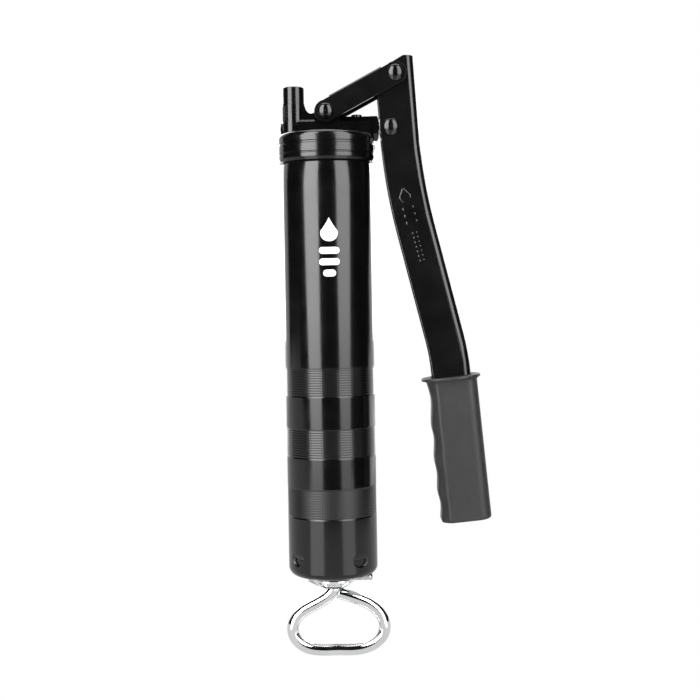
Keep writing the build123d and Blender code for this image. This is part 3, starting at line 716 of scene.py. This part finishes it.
# ---- springs ------------------------------------------------------------------------------
def coil(name, centre, radius, wire, low, high, turns, per_turn=36, sides=10):
    """A compression spring on a vertical axis, with one closed turn at each end."""
    closed = 1.0
    span = high - low - wire
    total = turns + 2 * closed
    path = []
    for i in range(int(total * per_turn) + 1):
        t = i / per_turn
        rise = min(t, closed) * wire * 0.9
        rise += max(0.0, min(t - closed, turns)) / turns * (span - 1.8 * wire * closed)
        rise += max(0.0, t - closed - turns) * wire * 0.9
        a = 2 * math.pi * t
        path.append(Vector((centre[0] + radius * math.cos(a), centre[1] + radius * math.sin(a),
                            low + wire / 2 + rise)) * MM)
    return sweep(name, path, [wire / 2 * MM] * len(path), sides)


# ---- build --------------------------------------------------------------------------------
def build_pieces():
    """Makes every new piece and lets it stand for its CAD node."""
    place(make_barrel(), "barrel", "barrel_paint", MATERIALS["barrel_paint"], "barrel_tube")
    place(make_mark(), "barrel", "barrel_paint", MATERIALS["white_print"])
    place(make_lever_mark(), "lever", "lever_paint", MATERIALS["lever_paint"])
    place(make_grip(), "lever", "grip_pvc", MATERIALS["grip_pvc"], "lever_grip")
    place(make_rod(), "rod", "chrome_plate", MATERIALS["chrome_plate"], "follower_rod")
    low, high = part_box("follower_spring")
    main = coil("follower_coil", (0, 0), 21.7, 2.6, low.z / MM, high.z / MM, 24)
    place(main, "barrel", "spring_steel", MATERIALS["spring_steel"], "follower_spring")
    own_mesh(main)
    low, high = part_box("check_spring")
    middle = (low + high) / 2 / MM
    small = coil("check_coil", (middle.x, middle.y), 2.0, 0.55, low.z / MM, high.z / MM, 4, 24, 8)
    place(small, "head", "spring_steel", MATERIALS["spring_steel"], "check_spring")
    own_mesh(small)


# ---- light, floor and camera --------------------------------------------------------------
ROD_TRAVEL = 0.205
ROOM_LEVEL = 0.009          # what the dark room gives, and what comes from far below
BELOW_LEVEL = 0.6


def emitter(name, corners, strength, fade=None):
    """A glowing panel that lights and reflects but isn't seen by the camera itself.

    fade is a list of (z in metres, share of strength) that dims the panel with height.
    """
    obj = new_object(name, corners, [(0, 1, 2, 3)], smooth=False)
    material = bpy.data.materials.new(name)
    material.use_nodes = True
    nodes = material.node_tree.nodes
    nodes.clear()
    output = nodes.new("ShaderNodeOutputMaterial")
    glow = nodes.new("ShaderNodeEmission")
    glow.inputs["Color"].default_value = WHITE
    glow.inputs["Strength"].default_value = strength
    links = material.node_tree.links
    links.new(glow.outputs["Emission"], output.inputs["Surface"])
    if fade:
        place_node = nodes.new("ShaderNodeTexCoord")
        split = nodes.new("ShaderNodeSeparateXYZ")
        links.new(place_node.outputs["Object"], split.inputs["Vector"])
        low, high = fade[0][0], fade[-1][0]
        span = nodes.new("ShaderNodeMapRange")
        span.inputs["From Min"].default_value = low
        span.inputs["From Max"].default_value = high
        links.new(split.outputs["Z"], span.inputs["Value"])
        ramp = nodes.new("ShaderNodeValToRGB")
        for i, (z, share) in enumerate(fade):
            position = (z - low) / (high - low)
            stop = ramp.color_ramp.elements[i] if i < 2 else ramp.color_ramp.elements.new(position)
            stop.position = position
            stop.color = (share, share, share, 1)
        links.new(span.outputs["Result"], ramp.inputs["Fac"])
        scale = nodes.new("ShaderNodeMath")
        scale.operation = "MULTIPLY"
        scale.inputs[1].default_value = strength
        links.new(ramp.outputs["Color"], scale.inputs[0])
        links.new(scale.outputs["Value"], glow.inputs["Strength"])
    obj.data.materials.append(material)
    obj.visible_camera = False
    obj.visible_shadow = False
    return obj


def at(azimuth_deg, distance, z):
    """A point at an azimuth counted from -Y towards +X."""
    a = math.radians(azimuth_deg)
    return Vector((distance * math.sin(a), -distance * math.cos(a), z))


def strip_light(name, low_az, high_az, strength, fade):
    """A tall softbox a metre away: upright above the barrel's middle, narrowing below it."""
    for part, z0, z1, az0, az1 in (("upper", 0.1, 1.7, high_az, high_az),
                                   ("lower", -0.5, 0.1, low_az, high_az)):
        corners = [at(az0[0], 1, z0), at(az0[1], 1, z0), at(az1[1], 1, z1), at(az1[0], 1, z1)]
        emitter(f"{name}_{part}", corners, strength, fade=fade)


def build_stage():
    """White surroundings for the camera, a dark room to mirror, two tall softboxes and fills."""
    world = bpy.data.worlds.new("studio")
    SCENE.world = world
    world.use_nodes = True
    nodes = world.node_tree.nodes
    links = world.node_tree.links
    nodes.clear()
    output = nodes.new("ShaderNodeOutputWorld")
    dark = nodes.new("ShaderNodeBackground")
    direction = nodes.new("ShaderNodeTexCoord")
    split = nodes.new("ShaderNodeSeparateXYZ")
    below = nodes.new("ShaderNodeMapRange")
    below.inputs["From Min"].default_value = -0.35
    below.inputs["From Max"].default_value = -0.65
    below.inputs["To Min"].default_value = ROOM_LEVEL
    below.inputs["To Max"].default_value = BELOW_LEVEL
    links.new(direction.outputs["Generated"], split.inputs["Vector"])
    links.new(split.outputs["Z"], below.inputs["Value"])
    links.new(below.outputs["Result"], dark.inputs["Strength"])
    dark.inputs["Color"].default_value = WHITE
    white = nodes.new("ShaderNodeBackground")
    white.inputs["Color"].default_value = WHITE
    rays = nodes.new("ShaderNodeLightPath")
    mix = nodes.new("ShaderNodeMixShader")
    links.new(rays.outputs["Is Camera Ray"], mix.inputs["Fac"])
    links.new(dark.outputs["Background"], mix.inputs[1])
    links.new(white.outputs["Background"], mix.inputs[2])
    links.new(mix.outputs["Shader"], output.inputs["Surface"])
    floor_z = cad_box[0].z - 0.0005
    fade = [(-0.6, 0.2), (-0.30, 0.24), (-0.20, 0.5), (-0.03, 0.86), (0.15, 1.0), (2.0, 1.0)]
    strip_light("softbox_left", (-44.0, -22.0), (-60.0, -22.0), 9.0, fade)
    strip_light("softbox_right", (26.0, 44.0), (24.0, 60.0), 6.0, fade)
    # white wall behind, a top panel, and the part of the floor that the paint mirrors
    emitter("back_wall", [(-2.3, 1.5, -0.6), (1.85, 1.5, -0.6), (1.85, 1.5, 1.6), (-2.3, 1.5, 1.6)], 1.0)
    for name, az0, az1 in (("left", -166, -150), ("right", 152, 168)):
        corners = [at(az0, 1.3, -0.1), at(az1, 1.3, -0.1), at(az1, 1.3, 1.3), at(az0, 1.3, 1.3)]
        emitter(f"back_strip_{name}", corners, 5.0)
    emitter("top_panel", [(-0.5, -0.3, 1.2), (0.6, -0.3, 1.2), (0.6, 0.8, 1.2), (-0.5, 0.8, 1.2)], 3.0)
    emitter("floor_front", [(-4.0, -0.5, floor_z), (0.5, -0.5, floor_z), (0.5, 1.4, floor_z),
                            (-4.0, 1.4, floor_z)], 0.7)
    emitter("floor_back_right", [(0.5, 0.2, floor_z), (3.0, 1.1, floor_z), (3.0, 2.4, floor_z),
                                 (0.5, 2.4, floor_z)], 1.5)
    for name, az0, az1, strength in (("left", -57, -22, 2.3), ("right", 25, 58, 1.9)):
        reach = ((az0, 0.1), (az1, 0.1), (az1, 0.9), (az0, 0.9))
        corners = [at(az, distance, floor_z + 0.0005) for az, distance in reach]
        emitter(f"floor_gloss_{name}", corners, strength)
    low = cad_box[0].z - ROD_TRAVEL - 0.015       # the floor lies clear of the pulled-out rod
    floor = emitter("floor", [(-6, -6, low), (6, -6, low), (6, 6, low), (-6, 6, low)], 1.0)
    floor.visible_camera = True
    floor.visible_diffuse = False
    floor.visible_glossy = False
    floor.visible_transmission = False


def build_camera():
    """In front of the barrel, level with its smooth part, turned a little about its own axis."""
    data = bpy.data.cameras.new("camera")
    camera = bpy.data.objects.new("camera", data)
    SCENE.collection.objects.link(camera)
    data.sensor_width = 36.0
    data.lens = 64.73
    data.shift_y = -0.045
    data.clip_start = 0.05
    data.clip_end = 60.0
    yaw, pitch, roll = (math.radians(v) for v in (0.157, -1.453, 0.993))
    forward = Vector((math.sin(yaw) * math.cos(pitch), math.cos(yaw) * math.cos(pitch), math.sin(pitch)))
    right = Vector((math.cos(yaw), -math.sin(yaw), 0))
    up = right.cross(forward)
    turned_right = right * math.cos(roll) - up * math.sin(roll)
    turned_up = up * math.cos(roll) + right * math.sin(roll)
    matrix = Matrix((turned_right, turned_up, -forward)).transposed().to_4x4()
    matrix.translation = (0.0112, -0.8075, -0.0142)
    camera.matrix_world = matrix
    SCENE.camera = camera
    SCENE.view_settings.view_transform = "Standard"


finish_cad_nodes()
build_pieces()
build_stage()
build_camera()
